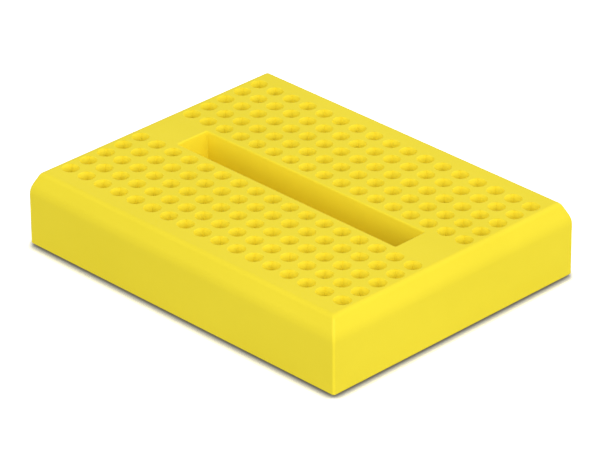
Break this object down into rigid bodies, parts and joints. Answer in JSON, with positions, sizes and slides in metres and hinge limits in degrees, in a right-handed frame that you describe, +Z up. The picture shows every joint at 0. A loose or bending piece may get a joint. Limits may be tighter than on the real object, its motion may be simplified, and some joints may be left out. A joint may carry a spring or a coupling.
{
  "type": "solderless breadboard",
  "caption": "Small flat block with a grid of square-bottomed plug-in holes in two banks either side of a centre groove, sprung contact clips inside and an adhesive pad underneath.",
  "frame": {"origin": "on the resting plane, under the middle of the board", "axes": "+X along the seventeen columns (the long side), +Y across the groove from the front bank to the rear bank, +Z up out of the tie points"},
  "size_m": [0.0458, 0.0356, 0.0088],
  "materials": {
    "housing_plastic": "injection-moulded yellow ABS, satin, even colour with a faint moulded grain",
    "contact_metal": "nickel-plated spring bronze strip, stamped and folded",
    "pad_foam": "white closed-cell polyethylene foam with acrylic adhesive on both faces",
    "liner_paper": "cream silicone-coated release paper"
  },
  "bodies": {
    "board": {"housing": "housing_plastic", "foam_pad": "pad_foam", "contact_clip_front_01": "contact_metal", "contact_clip_front_02": "contact_metal", "contact_clip_front_03": "contact_metal", "contact_clip_front_04": "contact_metal", "contact_clip_front_05": "contact_metal", "contact_clip_front_06": "contact_metal", "contact_clip_front_07": "contact_metal", "contact_clip_front_08": "contact_metal", "contact_clip_front_09": "contact_metal", "contact_clip_front_10": "contact_metal", "contact_clip_front_11": "contact_metal", "contact_clip_front_12": "contact_metal", "contact_clip_front_13": "contact_metal", "contact_clip_front_14": "contact_metal", "contact_clip_front_15": "contact_metal", "contact_clip_front_16": "contact_metal", "contact_clip_front_17": "contact_metal", "contact_clip_rear_01": "contact_metal", "contact_clip_rear_02": "contact_metal", "contact_clip_rear_03": "contact_metal", "contact_clip_rear_04": "contact_metal", "contact_clip_rear_05": "contact_metal", "contact_clip_rear_06": "contact_metal", "contact_clip_rear_07": "contact_metal", "contact_clip_rear_08": "contact_metal", "contact_clip_rear_09": "contact_metal", "contact_clip_rear_10": "contact_metal", "contact_clip_rear_11": "contact_metal", "contact_clip_rear_12": "contact_metal", "contact_clip_rear_13": "contact_metal", "contact_clip_rear_14": "contact_metal", "contact_clip_rear_15": "contact_metal", "contact_clip_rear_16": "contact_metal", "contact_clip_rear_17": "contact_metal"},
    "liner": {"release_liner": "liner_paper"}
  },
  "joints": [
    {"name": "liner_peel", "type": "slide", "parent": "board", "child": "liner", "axis": [1, 0, 0], "range_m": [0, 0.05]}
  ]
}
